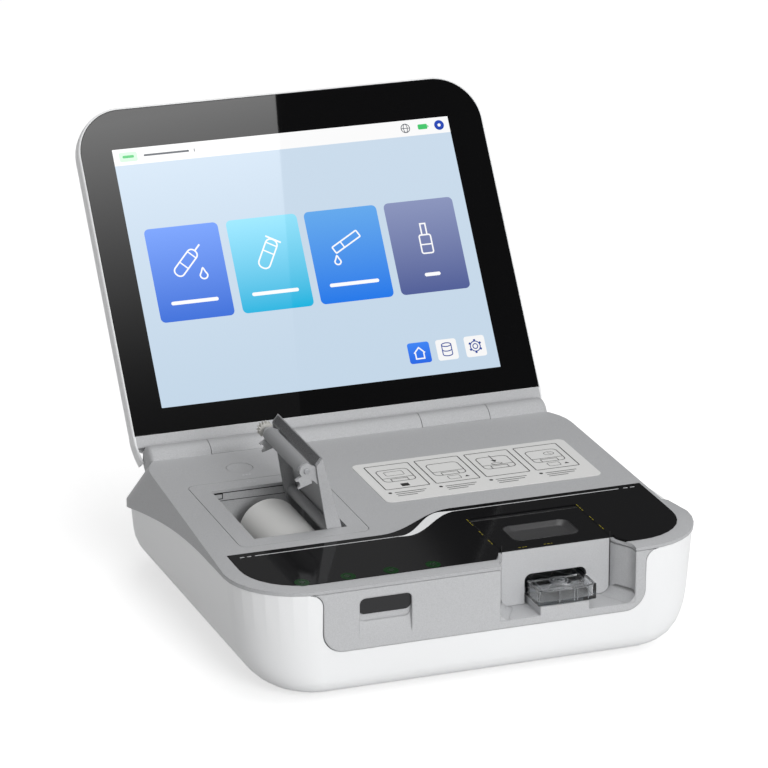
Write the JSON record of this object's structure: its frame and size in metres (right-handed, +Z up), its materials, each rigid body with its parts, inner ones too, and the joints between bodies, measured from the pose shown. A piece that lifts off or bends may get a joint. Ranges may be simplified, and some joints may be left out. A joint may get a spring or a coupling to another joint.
{
  "type": "blood gas analyzer",
  "caption": "Portable blood gas analyzer with a folding touch screen, a thermal printer under a flip-up door, a status fascia and a front bay that takes a clear test cartridge",
  "frame": {"origin": "Centre of the bounding box in plan, on the bench under the rubber feet", "axes": "+X to the operator's right, +Y to the back, +Z up from the bench; the screen stands open"},
  "size_m": [0.273, 0.3536, 0.243],
  "materials": {
    "aluminium": "machined",
    "battery": "shrink film",
    "black_fascia": "gloss",
    "board": "solder mask",
    "bronze": "plain",
    "card": "card",
    "clear_plastic": "clear",
    "dark_plastic": "matte",
    "display": "lit picture",
    "gear_nylon": "nylon",
    "glass_black": "gloss",
    "grey_shell": "fine matte",
    "indicator": "light pipe",
    "label": "printed film",
    "light_panel": "matte",
    "paper": "paper",
    "rubber": "matte",
    "screw_steel": "blackened",
    "sensor": "coated",
    "steel": "brushed",
    "white_shell": "satin"
  },
  "bodies": {
    "base": {"bottom_shell": "white_shell", "top_housing": "grey_shell", "front_panel": "light_panel", "control_fascia": "black_fascia", "cover_hinge_bracket": "steel", "scan_window": "glass_black", "scan_engine": "dark_plastic", "rubber_feet": "rubber", "case_screws": "screw_steel", "battery_pack": "battery", "battery_door": "white_shell", "battery_door_screws": "screw_steel", "main_board": "board", "power_board": "board", "port_board": "board", "power_jack": "dark_plastic", "switch_housing": "dark_plastic", "fan_housing": "dark_plastic", "speaker": "dark_plastic", "status_lights": "indicator", "light_board": "board", "button_switch": "board", "instruction_label": "label", "hinge_brackets": "steel", "hinge_shafts": "steel", "printer_frame": "light_panel", "print_head": "dark_plastic", "door_pin": "steel", "idler_axle": "steel", "printer_motor": "steel", "measuring_block": "aluminium", "press_guides": "steel", "pump_housing": "dark_plastic"},
    "lid": {"lid_knuckles": "grey_shell", "hinge_bushes": "bronze", "lid_bezel": "grey_shell", "cover_glass": "glass_black", "lcd_panel": "display", "lid_board": "board", "rear_cover": "white_shell", "lid_screws": "screw_steel"},
    "module_cover": {"module_cover": "light_panel", "cover_fascia": "black_fascia", "cover_hinge_pins": "steel"},
    "paper_door": {"paper_door": "grey_shell", "tear_bar": "steel"},
    "platen": {"platen_shaft": "steel", "platen_roller": "rubber", "platen_gear": "gear_nylon"},
    "idler": {"idler_gear": "gear_nylon"},
    "pinion": {"motor_pinion": "bronze"},
    "paper": {"paper_roll": "paper", "roll_core": "card"},
    "button": {"printer_button": "grey_shell"},
    "rocker": {"power_rocker": "dark_plastic"},
    "fan": {"fan_rotor": "dark_plastic"},
    "pump": {"pump_rotor": "gear_nylon"},
    "cartridge": {"cartridge_shell": "clear_plastic", "sensor_chip": "sensor"},
    "contact_head": {"contact_head": "dark_plastic"}
  },
  "joints": [
    {"name": "lid_hinge", "type": "hinge", "parent": "base", "child": "lid", "pos_m": [0, 0.04274, 0.0667], "axis": [1, 0, 0], "range_deg": [-8, 86]},
    {"name": "module_cover_hinge", "type": "hinge", "parent": "base", "child": "module_cover", "pos_m": [0.0478, -0.11118, 0.06474], "axis": [-1, 0, 0], "range_deg": [0, 60]},
    {"name": "paper_door_hinge", "type": "hinge", "parent": "base", "child": "paper_door", "pos_m": [-0.0577, -0.05845, 0.06376], "axis": [0, 0.9998, 0.0192], "range_deg": [-75, 0]},
    {"name": "platen_spin", "type": "hinge", "parent": "paper_door", "child": "platen", "pos_m": [-0.07418, -0.05921, 0.10323], "axis": [0, 0.9998, 0.0192], "continuous": true},
    {"name": "idler_spin", "type": "hinge", "parent": "base", "child": "idler", "pos_m": [-0.0976, -0.02392, 0.04698], "axis": [0, 0.9998, 0.0192], "continuous": true},
    {"name": "pinion_spin", "type": "hinge", "parent": "base", "child": "pinion", "pos_m": [-0.0976, -0.02373, 0.03733], "axis": [0, 0.9998, 0.0192], "continuous": true},
    {"name": "paper_roll_spin", "type": "hinge", "parent": "base", "child": "paper", "pos_m": [-0.0753, -0.06252, 0.04677], "axis": [0, 0.9998, 0.0192], "continuous": true},
    {"name": "printer_button_press", "type": "slide", "parent": "base", "child": "button", "axis": [0, 0.0192, -0.9998], "range_m": [0, 0.0015], "stiffness_N_per_m": 600, "springref_m": -0.001},
    {"name": "power_rocker_tilt", "type": "hinge", "parent": "base", "child": "rocker", "pos_m": [0.064, 0.06724, 0.02], "axis": [1, 0, 0], "range_deg": [0, 18]},
    {"name": "fan_spin", "type": "hinge", "parent": "base", "child": "fan", "pos_m": [0.084, -0.05226, 0.01], "axis": [0, 0, 1], "continuous": true},
    {"name": "pump_spin", "type": "hinge", "parent": "base", "child": "pump", "pos_m": [0.1, -0.09426, 0.026], "axis": [0, 0, 1], "continuous": true},
    {"name": "cartridge_slide", "type": "slide", "parent": "base", "child": "cartridge", "axis": [0, -1, 0], "range_m": [0, 0.045]},
    {"name": "contact_press", "type": "slide", "parent": "base", "child": "contact_head", "axis": [0, 0, -1], "range_m": [0, 0.0008]}
  ],
  "couplings": [
    {"joint": "pinion_spin", "follows": "idler_spin", "ratio": -2.2}
  ]
}
